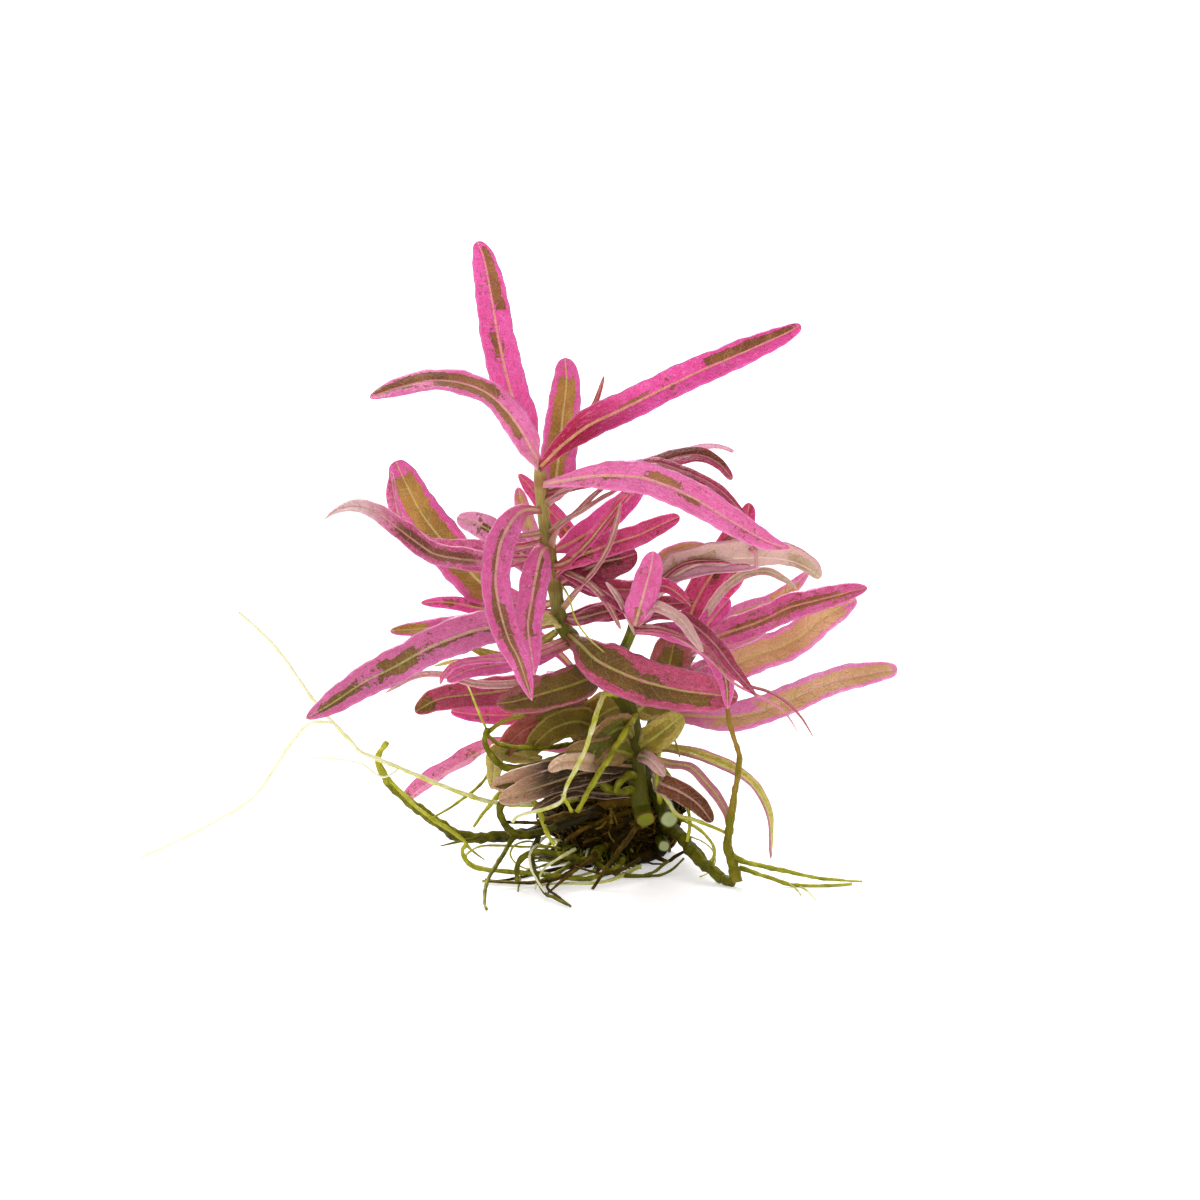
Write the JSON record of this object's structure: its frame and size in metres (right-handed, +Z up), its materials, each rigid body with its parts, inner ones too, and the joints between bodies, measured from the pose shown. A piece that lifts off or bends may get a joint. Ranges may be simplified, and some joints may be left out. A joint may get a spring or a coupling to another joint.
{
  "type": "aquarium stem plant",
  "caption": "Pink-leaved aquarium stem plant with lance-shaped leaves, green-brown stems and bare spread roots, standing on its root plug.",
  "frame": {"origin": "middle of the root plug's flat underside, on the surface that the plant stands on", "axes": "+X to the right seen from the front, +Y to the back, +Z up along the growing direction"},
  "size_m": [0.1066, 0.0568, 0.0903],
  "materials": {
    "leaf_pink": "satin",
    "leaf_dusky": "satin",
    "leaf_olive": "satin",
    "leaf_pale": "satin",
    "stem_green": "satin",
    "root_olive": "satin",
    "root_pale": "satin",
    "root_mass": "matte"
  },
  "bodies": {
    "root": {"crown_leaf_top": "leaf_pink", "crown_leaf_left": "leaf_pink", "crown_leaf_back": "leaf_pink", "crown_leaf_right": "leaf_pink", "arching_leaf_right": "leaf_pink", "mid_leaf_right": "leaf_pink", "mid_leaf_blotched": "leaf_pink", "speckled_leaf_behind": "leaf_pink", "middle_leaf_upright": "leaf_pink", "hanging_leaf": "leaf_pink", "rising_leaf_right": "leaf_pink", "rising_leaf_behind": "leaf_pink", "small_leaf_right": "leaf_pink", "right_leaf_upper": "leaf_pink", "right_leaf_middle": "leaf_pink", "right_leaf_low": "leaf_pink", "arching_leaf_low": "leaf_pink", "back_leaf_right": "leaf_pink", "left_leaf_big": "leaf_pink", "left_leaf_narrow": "leaf_pink", "left_leaf_middle": "leaf_pink", "left_leaf_small": "leaf_pink", "long_leaf_lower_left": "leaf_pink", "pink_leaf_low": "leaf_pink", "back_leaf_left": "leaf_pink", "drooping_leaf_left": "leaf_pink", "drooping_leaf_right": "leaf_pink", "curled_leaf_dark": "leaf_dusky", "drooping_leaf_dark": "leaf_dusky", "left_leaf_folded": "leaf_dusky", "broad_leaf_lower_left": "leaf_dusky", "broad_leaf_centre_right": "leaf_dusky", "dusky_leaf_low": "leaf_dusky", "broad_leaf_behind": "leaf_olive", "broad_leaf_centre_left": "leaf_olive", "oval_leaf": "leaf_olive", "olive_leaf_right": "leaf_olive", "pale_leaf_behind": "leaf_pale", "torn_leaf_grey": "leaf_pale", "pale_leaf_low_left": "leaf_pale", "main_stem": "stem_green", "middle_shoot": "stem_green", "right_shoot": "stem_green", "left_shoot": "stem_green", "cut_stem": "stem_green", "left_root_thick": "root_olive", "looped_root": "root_olive", "front_left_root": "root_olive", "front_root": "root_olive", "right_root_thick": "root_olive", "right_root_tall": "root_olive", "left_root_loop": "root_olive", "back_root_left": "root_olive", "back_root_right": "root_olive", "left_root_low": "root_pale", "far_right_root": "root_pale", "front_root_bright": "root_pale", "hair_root_long": "root_pale", "hair_root_left": "root_pale", "root_plug": "root_mass"}
  },
  "joints": []
}
